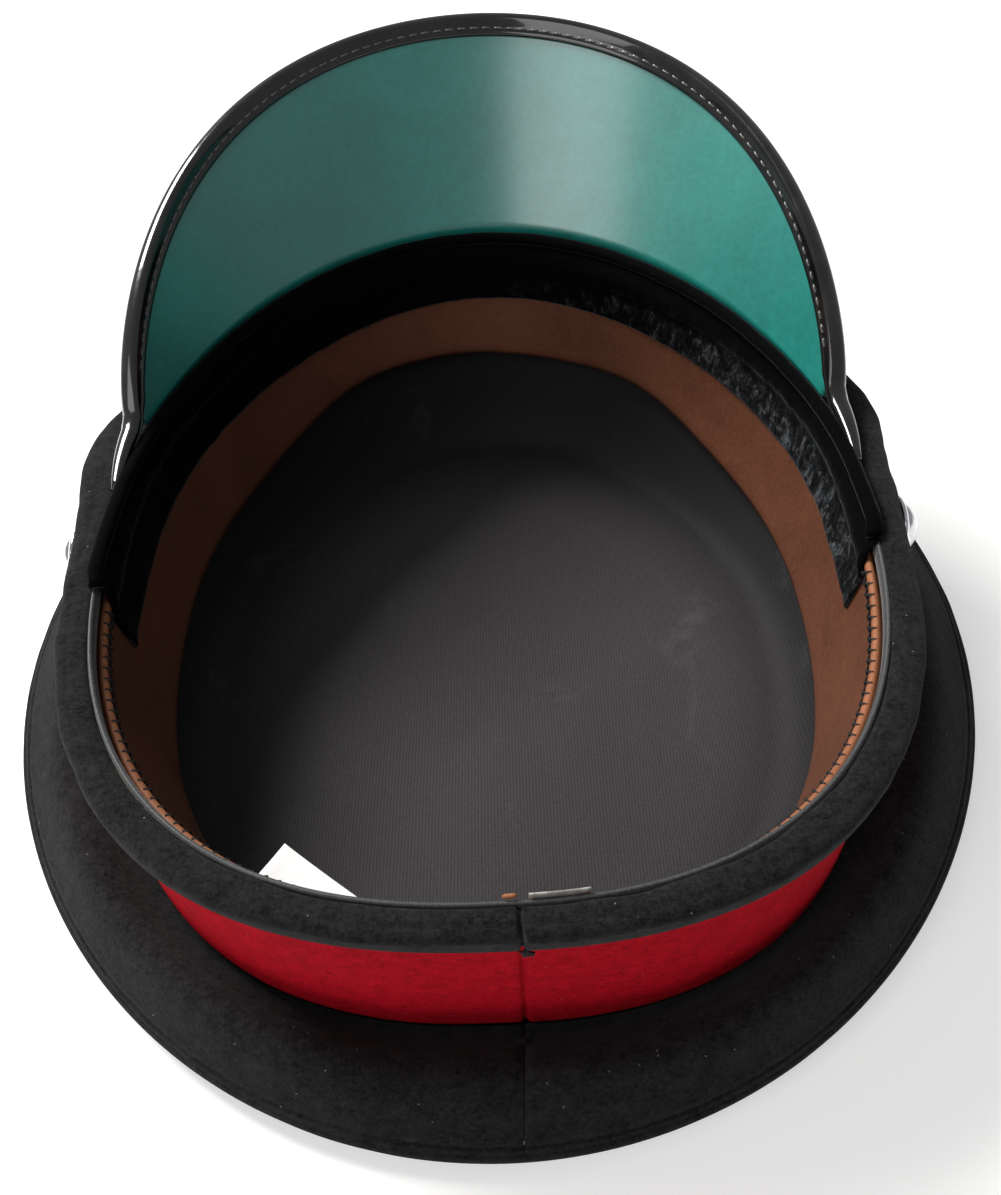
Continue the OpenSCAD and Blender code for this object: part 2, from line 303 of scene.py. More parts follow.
# Crown sides: two shaped quarters of the same wool, left and right, sewn to
# the red band at their inner edge and to the top at their outer edge. They
# meet in a seam at the front and one at the back, and sag softly between.
band_w, band_l = 176.0, 208.0
front_narrow, rear_widen, rear_square = 0.12, 0.08, 2.36
band_h, rim_z, rim_tilt, band_back = 46.0, 66.0, 3.5, 10.0
side_puff, board, gap = 7.0, 2.0, 0.3
back_seam = 271.7


def oval(t, out):
    """The head opening's outline at angle t, moved outwards."""
    c, s = cosd(t), sind(t)
    power = 1.0 if s > 0 else 2 / rear_square
    y = (band_l / 2 + out) * math.copysign(abs(s) ** power, s)
    share = (2 * y / band_l) ** 2 * (-front_narrow if y > 0 else rear_widen)
    return (band_w / 2 + out) * math.copysign(abs(c) ** power, c) * (1 + share), y


def stand(x, y, z):
    """From the band's own frame, where the rim is z = 0, to the table's."""
    return Vector((
        x,
        y * cosd(rim_tilt) - z * sind(rim_tilt) - band_back,
        y * sind(rim_tilt) + z * cosd(rim_tilt) + rim_z,
    ))


def on_wall(t, out, z):
    x, y = oval(t, out)
    return stand(x, y, z)


def seam_drop(t):
    """The band seam runs a little lower at the back."""
    return 3.2 * max(0.0, -sind(t)) ** 2


def side_point(t, s, depth):
    """The side cloth: s runs from the band seam to the edge seam, depth is measured inwards."""
    top = on_wall(t, cloth - depth * 0.8, -band_h - gap - depth * 0.6 - seam_drop(t))
    low = crown_edge(t, 1.1 - depth * 0.9, 2.0 - depth * 0.8)
    puffed = (side_puff + 1.5 - 0.35 * depth) * sind(180 * s ** 0.95) ** 1.8
    lift = puffed - 1.3 * max(0.0, (s - 0.9) / 0.1) ** 2
    out = 1.6 * sind(180 * s) * max(0.0, s - 0.3)
    return top.lerp(low, s) + Vector((out * cosd(t), out * sind(t), lift))


def seam_dip(t, seam, width=0.7):
    """How far cloth sinks into a seam that it crosses at angle seam."""
    off = (t - seam + 180) % 360 - 180
    return math.exp(-(off / width) ** 2)


def side_cloth(t, s, depth):
    p = side_point(t, s, depth)
    soft = sind(180 * min(1, max(0, s)))
    fold = ripple((cosd(t) * 5, sind(t) * 5, s * 0.8), 1.0, 1.5, 3)
    p.z += soft * (fold + ripple(p, 16, 0.5, 4))
    p.z -= 0.7 * (seam_dip(t, back_seam, 0.7) + seam_dip(t, 90, 0.7)) * (0.25 + 0.75 * soft)
    p.z -= 0.5 * math.exp(-((s - 0.92) / 0.016) ** 2)
    return p


def between(start, end, count):
    return [start + (end - start) * k / (count - 1) for k in range(count)]


def side_rings(first, last):
    rings = []
    for t in between(first, last, 181):
        rings.append(
            [side_cloth(t, s, 0) for s in between(0, 0.86, 20) + between(0.87, 1, 12)]
            + [side_cloth(t, s, cloth) for s in between(1, 0, 13)]
        )
    return rings


quarter_gap = 0.03
crown_left = loft("crown_side_cloth_left", side_rings(90 + quarter_gap, back_seam - quarter_gap))
crown_right = loft("crown_side_cloth_right", side_rings(back_seam - 360 + quarter_gap, 90 - quarter_gap))
for quarter, node in ((crown_left, "crown_side_left"), (crown_right, "crown_side_right")):
    dress(quarter, black_wool, "black_wool", "cap", node)

# Crown piping: a folded strip of the black wool round a thin cord, caught in
# the seam between the crown's top and its sides.
def tube_rings(line, radius, sides, flat=1.0):
    """Rings round a closed or open line of points, square to it."""
    count = len(line)
    rings = []
    for i in range(count):
        ahead, behind = line[(i + 1) % count], line[i - 1]
        if not rings and (line[0] - line[-1]).length > 8 * (line[1] - line[0]).length:
            behind = line[0]
        if i == count - 1 and (line[0] - line[-1]).length > 8 * (line[1] - line[0]).length:
            ahead = line[-1]
        along = (ahead - behind).normalized()
        side = along.cross(Vector((0, 0, 1))).normalized()
        up = side.cross(along).normalized()
        wide = radius(i) if callable(radius) else radius
        rings.append([
            line[i] + side * (wide * cosd(a)) + up * (wide * flat * sind(a))
            for a in between(0, 360 * (1 - 1 / sides), sides)
        ])
    return rings


welt_line = []
for t in between(0, 359, 360):
    p = crown_edge(t)
    welt_line.append(p + Vector((0, 0, ripple(p, 9, 0.25, 8))))
crown_piping = loft("crown_piping", tube_rings(welt_line, 1.55, 14), around=True)
dress(crown_piping, black_wool, "black_wool", "cap", "crown_welt")

# Crown wire: a hoop of spring steel wire inside the edge, which keeps the
# crown's oval taut. It stays the turned solid and gets drawn-steel marks.
def metal_finish(name, dull, bright, roughness):
    made = Finish(name, Metallic=1.0)
    rub = made.grain(700, 6, 0.65, stretch=(1, 1, 0.1), warp=0.3)
    made.tint(made.ramp(rub, [(0.35, dull), (0.62, bright)]))
    made.gloss(made.grain(160, 5), roughness * 0.7, roughness * 1.4)
    return made.relief(rub, 0.02, 0.4).material


def refinish(node, finish):
    """A carried-over solid takes a worked finish in its own slots."""
    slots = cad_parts[node].material_slots
    for place in slots:
        place.material = finish


refinish("crown_wire", metal_finish("spring steel", (0.2, 0.2, 0.22), (0.5, 0.5, 0.53), 0.35))

# Crown wadding: a disc of cotton wadding between the crown's top and the
# lining. It is blown up as a slack pad, then laid flat on the top cloth.
pad_share, pad_t = 0.8, 2.4


def pad_rings():
    half_w, half_l = crown_w / 2 * pad_share, crown_l / 2 * pad_share
    under = [(0.02, 0), (0.5, 0), (0.94, 0), (0.985, 0.5), (1, 1.2)]
    over = [(0.985, 1.9), (0.94, 2.4), (0.5, 2.4), (0.02, 2.4)]
    rings = []
    for share, z in under + over:
        height = cloth + 0.1 + z * pad_t / 2.5
        rings.append([
            Vector((half_w * share * cosd(t), half_l * share * sind(t), height))
            for t in between(0, 356, 90)
        ])
    return rings


def puff(piece, voxel, pressure, most):
    """Blows a pad up with cloth, holds each point within a cap, and applies the result."""
    remesh = piece.modifiers.new("even mesh", "REMESH")
    remesh.mode, remesh.voxel_size = "VOXEL", voxel * MM
    bpy.context.view_layer.objects.active = piece
    bpy.ops.object.modifier_apply(modifier=remesh.name)
    before = [v.co.copy() for v in piece.data.vertices]
    cloth_mod = piece.modifiers.new("wadding", "CLOTH")
    cloth_mod.settings.use_pressure = True
    cloth_mod.settings.uniform_pressure_force = pressure
    cloth_mod.settings.effector_weights.gravity = 0
    scene = bpy.context.scene
    for step in range(1, 16):
        scene.frame_set(step)
    shaped = piece.evaluated_get(bpy.context.evaluated_depsgraph_get())
    after = [v.co.copy() for v in shaped.data.vertices]
    piece.modifiers.remove(cloth_mod)
    scene.frame_set(1)
    floor_z, top_z = (cloth + 0.1) * MM, (cloth + 0.1 + pad_t) * MM
    for vertex, old, new in zip(piece.data.vertices, before, after):
        move = new - old
        if move.length > most * MM:
            move = move.normalized() * most * MM
        place = old + move
        place.z = min(max(place.z, floor_z), top_z)
        vertex.co = place
    piece.data.polygons.foreach_set("use_smooth", [True] * len(piece.data.polygons))
    piece.data.update()


crown_wadding = loft("crown_wadding", pad_rings(), fan=True)
puff(crown_wadding, 2.2, 1.5, 2.0)
made = Finish("cotton wadding", Roughness=1.0, Sheen_Weight=0.4)
tufts = made.grain(420, 7, 0.75, warp=0.8)
made.tint(made.ramp(tufts, [(0.3, (0.42, 0.39, 0.33)), (0.7, (0.8, 0.77, 0.7))])).relief(tufts, 0.6)
dress(crown_wadding, made.material, "wadding", "cap", "crown_padding")

# Lining: black crepe cut as a cup, hanging from behind the sweatband and lying on the wadding. It is smooth,
# with a fine rib, some dusty rubs and painted shade towards the walls.
lining_t = 0.5
lining_floor = cloth + pad_t + 0.35


def lining_point(t, s, face):
    """s runs from the hem behind the sweatband, down the wall in one curve, to the middle of the floor."""
    lift = 0 if face else -lining_t
    hem = on_wall(t, -board - 0.35 - (0 if face else lining_t), -band_h + 19)
    foot = on_wall(t, -board - 1.5, -band_h)
    middle = Vector((0, -4, 0))
    foot.z = lining_floor + 0.8
    if s < 0.42:
        share = s / 0.42
        rest = middle + (foot - middle) * 0.84
        rest.z = foot.z
        p = hem.lerp(foot, share).lerp(foot.lerp(rest, share), share)
        slack = sind(180 * share)
    else:
        share = (s - 0.42) / 0.58
        p = middle + (foot - middle) * (0.84 * max(0.0, 1 - share) ** 1.1 + 0.004)
        p.z = foot.z
        slack = 0.0
    swell = ripple(p, 42, 1.2, 11) + ripple(p, 17, 0.35, 12)
    p.z = max(p.z + swell * min(1, s * 3), lining_floor + 0.55)
    return p + Vector((0, 0, lift)) + (middle - p).normalized() * (slack * 0.6 * (1 + ripple(p, 25, 1.0, 13)))


lining_steps = between(0, 0.42, 24)[:-1] + between(0.42, 1.0, 34)
lining_rings = [[lining_point(t, s, 1) for t in between(0, 357.5, 144)] for s in lining_steps[::-1]]
lining_rings += [[lining_point(t, s, 0) for t in between(0, 357.5, 144)] for s in lining_steps]
crown_lining = loft("crown_lining_cloth", lining_rings, fan=True)
made = Finish(
    "black crepe lining", Roughness=0.75, Sheen_Weight=0.12, Sheen_Roughness=0.4, Specular_IOR_Level=0.2,
)
rib = made.ribs(400, "X", warp=1.2)
cross = made.ribs(620, "Y", warp=1.6)
crepe = made.grain(1500, 4, 0.7)
crossed = made.blend(cross, 0.15, made.times(crepe, 0.6))
woven = made.blend(rib, 0.25, crossed)
base = made.ramp(woven, [(0.25, (0.021, 0.019, 0.0205)), (0.75, (0.052, 0.0475, 0.0505))])
rubs = made.times(made.rise(made.grain(30, 6, 0.7, warp=0.5), 0.6, 0.8), 0.3)
# Painted shade: the lining is darkened towards its walls, most at the front and the sides, where the band and
# the sweatband shade it.
where = made.axes()
across = made.sums("POWER", made.times(made.sums("ABSOLUTE", where["X"]), 11.6), 2)
off_middle = made.sums("ABSOLUTE", made.sums("ADD", where["Y"], 0.022))
along = made.sums("POWER", made.times(off_middle, 9.3), 2)
painted_wall_shade = made.rise(made.sums("ADD", across, along), 0.45, 0.9)
base = made.over(base, (0.006, 0.0055, 0.006), made.times(painted_wall_shade, 0.85))
made.tint(made.over(base, (0.12, 0.115, 0.12), rubs)).relief(woven, 0.1, 0.8)
dress(crown_lining, made.material, "crepe_lining", "cap", "crown_lining")

# Front stay: a patch of stiff buckram behind the front of the crown, glued
# to the inside of the side cloth.
stay_rings = [
    [side_point(t, s, cloth + 0.35) for s in between(0.08, 0.8, 12)]
    + [side_point(t, s, cloth + 1.35) for s in between(0.8, 0.08, 12)]
    for t in between(70, 110, 41)
]
front_stay = loft("front_stay", stay_rings)
made = Finish("buckram", Roughness=0.85)
mesh_a, mesh_b = made.ribs(280, "X"), made.ribs(280, "Z")
threads = made.sums("MAXIMUM", mesh_a, mesh_b)
made.tint(made.ramp(threads, [(0.2, (0.35, 0.31, 0.24)), (0.8, (0.75, 0.71, 0.6))])).relief(threads, 0.25)
dress(front_stay, made.material, "buckram", "cap", "front_stiffener")

# Band board: stiff pressboard bent to the head's oval, bored at the two
# sides for the button pins. It is almost all covered.
def board_finish(name, deep, lit):
    made = Finish(name, Roughness=0.8, Specular_IOR_Level=0.3)
    pulp = made.grain(380, 7, 0.7, stretch=(1, 1, 0.4))
    made.tint(made.ramp(pulp, [(0.35, deep), (0.65, lit)]))
    return made.relief(pulp, 0.12).material


pressboard = board_finish("pressboard", (0.3, 0.22, 0.13), (0.5, 0.4, 0.26))
refinish("band_core", pressboard)

# Red band: a strip of fulled red wool round the board, joined in one seam at
# the back. The rim strip covers its upper edge, the crown its lower one.
def seam_groove(t, depth=0.9, width=0.25):
    return depth * seam_dip(t, back_seam, width)


def red_ring(t):
    low, high = -band_h + 0.05 - seam_drop(t), -2.7
    outer = []
    for z in between(low, high, 22):
        p = on_wall(t, 0, z)
        swell = ripple(p, 22, 0.25, 21) + ripple(p, 5, 0.05, 22) - seam_groove(t)
        edge_roll = 0.5 * math.exp(-((z - low) / 1.2) ** 2)
        outer.append(on_wall(t, cloth - 0.1 + min(0.25, swell) - edge_roll, z))
    return outer + [on_wall(t, 0.05, z) for z in between(high, low, 4)]


fine_round = sorted(between(0, 359.25, 480) + [back_seam + off for off in between(-0.45, 0.45, 10)])
red_band = loft("red_band_cloth", [red_ring(t) for t in fine_round], around=True)
red_wool = wool_finish("red wool", (0.2, 0.001, 0.005), (0.4, 0.003, 0.012), (0.45, 0.1, 0.1), 0.06, 0.0)
dress(red_band, red_wool, "red_wool", "cap", "red_band")

# Rim strip: a folded strip of the black wool that caps the rim and overlaps
# the red band, joined at the back, with a thin hard edge where it is cut.
strip_out, strip_in, strip_h, strip_cap = cloth + 2.6, -board + 0.1, 5.0, 2.6


def strip_section(t):
    hem = ((1.3, -0.1), (0.45, 0.15), (0.08, 0.8))
    plan = [(strip_out - back, -strip_h + up) for back, up in hem] + [(strip_out, -2.8)]
    for a in between(-8, 98, 12):
        plan.append((strip_out - 2.3 + 2.3 * cosd(a), -1.9 + 1.9 * sind(a)))
    across = strip_in + 1.3 - strip_out + 2.5
    for share in (0.25, 0.5, 0.75):
        plan.append((strip_out - 2.5 + across * share, 0.02 + 0.22 * sind(180 * share)))
    for a in between(90, 180, 8):
        plan.append((strip_in + 1.3 + 1.3 * cosd(a), -1.25 + 1.25 * sind(a)))
    plan += [(strip_in, -strip_cap), (cloth + 0.05, -strip_cap), (cloth + 0.1, -strip_h)]
    return plan


def beside_peak(t, right, left, width):
    """1 beside the peak's two ends, fading to 0 along the rim.

    right and left are the middles, as angles from the line between the buttons."""
    turn = (t + 180) % 360 - 180
    middle = right if -90 < turn < 90 else 180 - left
    return math.exp(-(((turn - middle + 180) % 360 - 180) / width) ** 2)


def pushed_out(t):
    """The peak's ends press the strip outwards, so it is wider there."""
    return 6.4 * beside_peak(t, 15, 12, 11.5)


def pressed_in(t):
    """The peak's ends and the bead lie further in than the wall there."""
    return 3.4 * beside_peak(t, 20, 18, 28)


def strip_ring(t):
    ring = []
    push = pushed_out(t)
    cut = seam_groove(t, 1.0, 0.18)
    for k, (out, z) in enumerate(strip_section(t)):
        p = on_wall(t, out, z)
        shown = 2 < k < 26
        swell = (ripple(p, 11, 0.35, 31) + ripple(p, 4, 0.16, 32)) if shown else 0
        toward = (out - 1.3) / 3.1
        wider = push * max(0.0, (out - strip_in - 1.5) / (strip_out - strip_in - 1.5))
        if z > -1.3:
            wider -= pressed_in(t) * 0.8 * (strip_out - out) / (strip_out - strip_in)
        higher = (swell * 0.7 - cut) * (1 if z > -2.4 else 0.2)
        ring.append(on_wall(t, out + wider + (swell - cut) * max(-1, min(1, toward)), z + higher))
    return ring


rim_strip = loft("rim_strip_cloth", [strip_ring(t) for t in fine_round], around=True)
dress(rim_strip, black_wool, "black_wool", "cap", "rim_strip")

# Rim tape: a narrow ribbed tape pasted inside the rim, over the cut edge of
# the board. Only its thin edge shows beside the wool.
tape_face = -board - 0.05
tape_plan = (
    (0, -3.6), (0, -0.9), (0.25, -0.35), (0.6, -0.3), (0.95, -0.7), (1.05, -1.5), (1.0, -2.6), (0.9, -3.6),
)


def tape_ring(t):
    p = on_wall(t, tape_face, 0)
    wave = ripple(p, 8, 0.12, 41)
    return [
        on_wall(t, tape_face - out, z + (wave if z > -3 else 0))
        for out, z in tape_plan
    ]


rim_tape = loft("rim_tape_ribbon", [tape_ring(t) for t in fine_round], around=True)
made = Finish("grey tape", Roughness=0.55, Specular_IOR_Level=0.5, Sheen_Weight=0.2)
tape_rib = made.grain(1300, 4, 0.7)
made.tint(made.ramp(tape_rib, [(0.3, (0.012, 0.012, 0.013)), (0.7, (0.042, 0.042, 0.045))]))
made.relief(tape_rib, 0.12)
dress(rim_tape, made.material, "grey_tape", "cap", "rim_tape")

# Sweatband: a strip of smooth brown leather sewn round the inside of the
# rim. Its lower edge is free, leans inwards, and waves where it was cut.
sweat_top, sweat_lean, sweat_h, sweat_z, leather = -board - gap, 6.0, 37.0, -6.0, 1.3


def sweat_deep(t):
    """The strip is narrower across the forehead, where its free edge waves."""
    front = max(0.0, sind(t)) ** 2.5
    corners = math.exp(-((t - 52) / 13) ** 2) + math.exp(-((t - 124) / 13) ** 2)
    waves = 1.3 * front * sind(t * 5 + 40)
    return sweat_h - 2.2 * corners - 9.0 * front + waves + 0.5 * sind(t * 3)


def sweat_offset(t, down):
    share = down / sweat_h
    lean = sweat_lean * (share ** 1.25) + 0.8 * share * sind(t * 4 + 70) * max(0.0, sind(t))
    return sweat_top - lean


def sweat_ring(t):
    deep = sweat_deep(t)
    outer, inner = [], []
    for share in between(0, 1, 18):
        down = share * deep
        p = on_wall(t, sweat_offset(t, down), sweat_z - down)
        wave = ripple(p, 30, 0.5, 51) * share
        outer.append(on_wall(t, sweat_offset(t, down) + wave, sweat_z - down))
        at_edge = share == 1
        thick = leather * (0.45 if at_edge else 1)
        inner.append(on_wall(t, sweat_offset(t, down) - thick + wave, sweat_z - down + 0.1 * at_edge))
    return outer + inner[::-1]


sweatband = loft("sweatband_leather", [sweat_ring(t) for t in between(0, 359, 360)], around=True)


def hide_finish(name, deep, lit, cell, depth, rough, **sockets):
    """Dressed leather or leathercloth: a pebbled grain with fine pores and rubbed gloss."""
    made = Finish(name, **sockets)
    pebbles = made.cells(cell, feature="SMOOTH_F1").outputs["Distance"]
    pores = made.grain(cell * 2.2, 5, 0.7)
    skin = made.blend(pebbles, 0.6, made.times(pores, 0.5))
    cloudy = made.blend(made.grain(34, 5, 0.6, warp=0.4), 0.7, made.times(skin, 0.35))
    made.tint(made.ramp(cloudy, [(0.3, deep), (0.72, lit)]))
    made.gloss(made.grain(60, 5, 0.6), rough * 0.85, rough * 1.2)
    return made.relief(skin, depth, 0.8).material


brown_leather = hide_finish(
    "brown leather", (0.07, 0.024, 0.012), (0.145, 0.052, 0.027), 900, 0.05, 0.42, Specular_IOR_Level=0.4,
)
dress(sweatband, brown_leather, "brown_leather", "cap", "sweatband")

# Sweatband reed and its thread: a tan piping along the sweatband's top edge,
# oversewn with a black zigzag whose points reach down onto the leather.
reed_r = 1.2
reed_out, reed_z = sweat_top - 1.45, sweat_z + 0.45
reed_rings = []


def reed_drop(t):
    """The piping sits a little lower at the back."""
    return 1.2 * max(0.0, -sind(t)) ** 2


for t in fine_round:
    high = reed_r + 0.06 * sind(t * 120)
    reed_rings.append([
        on_wall(t, reed_out + 0.9 * cosd(a), reed_z - reed_drop(t) + high * sind(a))
        for a in between(0, 330, 12)
    ])
reed = loft("sweatband_piping", reed_rings, around=True)
tan_reed = hide_finish(
    "tan piping", (0.17, 0.055, 0.022), (0.33, 0.125, 0.055), 1100, 0.06, 0.6, Specular_IOR_Level=0.3,
)
dress(reed, tan_reed, "tan_reed", "cap", "sweatband_reed")


def join(name, parts):
    """Several small skins as one piece."""
    points, faces = [], []
    for part in parts:
        start = len(points)
        points += [tuple(v.co) for v in part.data.vertices]
        faces += [tuple(start + k for k in f.vertices) for f in part.data.polygons]
        used = part.data
        bpy.data.objects.remove(part)
        bpy.data.meshes.remove(used)
    mesh = bpy.data.meshes.new(name)
    mesh.from_pydata(points, [], faces)
    mesh.polygons.foreach_set("use_smooth", [True] * len(mesh.polygons))
    piece = bpy.data.objects.new(name, mesh)
    bpy.context.scene.collection.objects.link(piece)
    return piece


def thread(points, thick, sides=6):
    """One laid thread, rounded off at its ends."""
    line = [Vector(p) for p in points]
    fine = [line[0]]
    for a, b in zip(line, line[1:]):
        fine += [a.lerp(b, 0.5), b]
    count = len(fine)
    rings = []
    for i, p in enumerate(fine):
        along = (fine[min(i + 1, count - 1)] - fine[max(i - 1, 0)]).normalized()
        side = along.cross(Vector((0.3, 0.2, 1))).normalized()
        up = side.cross(along)
        r = thick * (0.45 if i in (0, count - 1) else 1)
        turns = between(0, 360 - 360 / sides, sides)
        rings.append([p + side * (r * cosd(a)) + up * (r * sind(a)) for a in turns])
    return loft("thread", rings)


zigzags = 200
zigzag_line = []
for k in range(2 * zigzags):
    t = 360 * k / (2 * zigzags)
    if k % 2:
        zigzag_line.append(on_wall(t, sweat_offset(t, 2.0) - leather - 0.12, reed_z - 3.0 - reed_drop(t)))
    else:
        zigzag_line.append(on_wall(t, reed_out - 0.35, reed_z + 1.15 - reed_drop(t)))
over_reed = []
for a, b in zip(zigzag_line, zigzag_line[1:] + zigzag_line[:1]):
    toward = Vector((-(a.x + b.x) / 2, -(a.y + b.y + 2 * band_back) / 2, 0)).normalized()
    over_reed += [a, a.lerp(b, 0.28) + toward * 0.95, a.lerp(b, 0.62) + toward * 0.7]
zigzag = loft("zigzag_thread", tube_rings(over_reed, 0.33, 6), around=True)
made = Finish("black thread", Roughness=0.75, Specular_IOR_Level=0.2)
ply = made.grain(2600, 3, 0.6, stretch=(1, 0.3, 1), turn=(0, 0, 40))
made.tint(made.ramp(ply, [(0.3, (0.008, 0.008, 0.008)), (0.7, (0.035, 0.033, 0.033))])).relief(ply, 0.05)
black_thread = made.material
dress(zigzag, black_thread, "black_wool", "cap")

# Forehead shield: a strip of black velvet turned over the sweatband's top
# across the forehead, its two ends cut slanting to a point, and the round
# velvet bead over a cord that hides the joint with the peak.
shield_from, shield_to = -11.4, 193.4


def shield_face(t, z):
    """How far in the velvet lies at a height: over the tape and the piping, then on the leather."""
    lowest = (-8.5, sweat_offset(t, 2.5) - leather - 0.25)
    plan = ((0.6, -2.7), (-1.2, -4.0), (-3.6, -5.0), (-6.2, -5.1), lowest)
    if z <= plan[-1][0]:
        return sweat_offset(t, sweat_z - z) - leather - 0.25
    for (z0, f0), (z1, f1) in zip(plan, plan[1:]):
        if z >= z1:
            share = max(0.0, min(1.0, (z0 - z) / (z0 - z1)))
            return f0 + (f1 - f0) * share
    return plan[0][1]


def shield_ring(t):
    slant = max(0.0, min(1.0, 1 - min(t - shield_from, shield_to - t) / 1.2)) * 0.35
    low = sweat_z - 10.4 - 3.6 * (1 - max(0.0, sind(t))) - 0.4 * sind(3 * t) - 1.0 * slant
    top = 0.5 + (low + 1.5 - 0.5) * slant
    outer, inner = [], []
    for share in between(0, 1, 22):
        z = top + (low - top) * share
        face = shield_face(t, z)
        p = on_wall(t, face, z)
        pile = ripple(p, 6, 0.3, 61) + ripple(p, 2.6, 0.15, 62)
        crease = 0.35 * math.exp(-((z + 7.2) / 0.8) ** 2)
        round_off = 0.75 * (math.exp(-((share - 1) / 0.04) ** 2) + math.exp(-(share / 0.04) ** 2))
        outer.append(on_wall(t, face + 0.1, z))
        inner.append(on_wall(t, face - 0.95 - pile + round_off + crease, z))
    return outer + inner[::-1]


shield = loft("forehead_shield", [shield_ring(t) for t in between(shield_from, shield_to, 300)])
made = Finish("black velvet", Roughness=0.95, Sheen_Weight=0.1, Sheen_Roughness=0.3, Specular_IOR_Level=0.03)
made.shader.inputs["Sheen Tint"].default_value = (0.8, 0.85, 0.95, 1)
crushed = made.grain(260, 6, 0.85, stretch=(1, 1, 0.7), warp=0.4)
streaks = made.grain(1100, 4, 0.7, stretch=(0.5, 0.5, 0.12), warp=0.4)
# Painted sheen: the pile is lightened low down on the right-hand part of the shield, where light falls on it;
# the crushed patches elsewhere are the velvet's own tone.
where = made.axes(turn=(-rim_tilt, 0, 0))
low_down = made.slope(where["Z"], -160, 9.95)
right_hand = made.slope(where["X"], 10, 0.3)
painted_sheen = made.blend(made.times(low_down, right_hand), 0.17, -0.09)
lay = made.sums("ADD", made.blend(crushed, 0.75, made.times(streaks, 0.25)), painted_sheen)
deep_pile, mid_pile, bare_pile_and_sheen = (0.0015, 0.0015, 0.0016), (0.008, 0.0085, 0.009), (0.085, 0.088, 0.093)
made.tint(made.ramp(lay, [(0.5, deep_pile), (0.59, mid_pile), (0.7, bare_pile_and_sheen)]))
made.relief(crushed, 0.12, 0.4).relief(streaks, 0.3, 0.8)
black_velvet = made.material
dress(shield, black_velvet, "black_velvet", "cap", "velvet_shield")

bead_r = 1.75
bead_line = []
for t in between(-9.5, 192.5, 260):
    sunk = 1.6 * max(0.0, 1 - min(t + 9.5, 192.5 - t) / 2.0)
    p = on_wall(t, -board + 0.1 - 0.3 * sunk - pressed_in(t), bead_r + 0.1 - sunk)
    bead_line.append(p + Vector((0, 0, ripple(p, 5, 0.15, 71))))
bead = loft("forehead_bead", tube_rings(bead_line, bead_r, 14, 0.9))
dress(bead, black_velvet, "black_velvet", "cap", "velvet_bead")

# Peak: three layers pressed together, patent leather outside, board in the
# middle and green leathercloth inside, standing on the front of the rim.
peak_depth, peak_slope, peak_end_slope, peak_start, peak_layer = 56.0, 57.0, 76.0, 11.5, 0.9
peak_foot, peak_root = 1.5 * peak_layer + 0.3, 1.5 * peak_layer - 0.15


def peak_deep(u):
    return peak_depth * sind(180 * u) ** 0.7


def oval_out(t):
    (ax, ay), (bx, by) = oval(t - 0.5, 0), oval(t + 0.5, 0)
    long = math.hypot(bx - ax, by - ay)
    return (by - ay) / long, (ax - bx) / long


def peak_point(u, s, h):
    """u runs along the rim from end to end, s from the rim to the edge, h off the middle of the layers."""
    t = peak_start + (180 - 2 * peak_start) * u
    x, y = oval(t, peak_root - 0.9 * pressed_in(t))
    ox, oy = oval_out(t)
    a = peak_end_slope + (peak_slope - peak_end_slope) * sind(180 * u)
    along = s * peak_deep(u)
    r = along * cosd(a) - h * sind(a)
    return stand(x + ox * r, y + oy * r, peak_foot + along * sind(a) + h * cosd(a))


def peak_rings(low, high, rows=18):
    rings = []
    for u in between(0.012, 0.988, 181):
        rings.append(
            [peak_point(u, s, low) for s in between(0, 1, rows)]
            + [peak_point(u, s, high) for s in between(1, 0, rows)]
        )
    return rings


green_leather = hide_finish(
    "green leathercloth", (0.004, 0.135, 0.11), (0.01, 0.22, 0.185), 620, 0.09, 0.4,
    Specular_IOR_Level=0.7, Coat_Weight=0.6, Coat_Roughness=0.26, Coat_IOR=2.0,
)
patent = Finish(
    "patent leather", Roughness=0.16, Coat_Weight=0.85, Coat_Roughness=0.04, Specular_IOR_Level=0.35,
)
crackle = patent.cells(520, feature="SMOOTH_F1").outputs["Distance"]
smears = patent.grain(70, 5, 0.65, warp=0.5)
patent.tint(patent.ramp(smears, [(0.35, (0.004, 0.0038, 0.0036)), (0.7, (0.014, 0.012, 0.011))]))
patent.gloss(smears, 0.1, 0.24)
patent.relief(crackle, 0.04, 0.5)
patent_leather = patent.material

peak_lining = loft("peak_lining_green", peak_rings(peak_layer / 2 + 0.02, 1.5 * peak_layer))
dress(peak_lining, green_leather, "green_leather", "cap", "peak_lining")
peak_skin = loft("peak_skin_patent", peak_rings(-1.5 * peak_layer, -peak_layer / 2 - 0.02))
dress(peak_skin, patent_leather, "patent_leather", "cap", "peak_skin")
peak_board = loft("peak_board", peak_rings(-peak_layer / 2, peak_layer / 2))
dress(peak_board, pressboard, "board", "cap", "peak_core")

# Peak binding: a strip of patent leather folded over the peak's edge and
# sewn through, with its two tails tucked down beside the rim strip.
half, lip = 1.5 * peak_layer, 3.9


def lip_at(u):
    return min(lip, peak_deep(u) * 0.45)


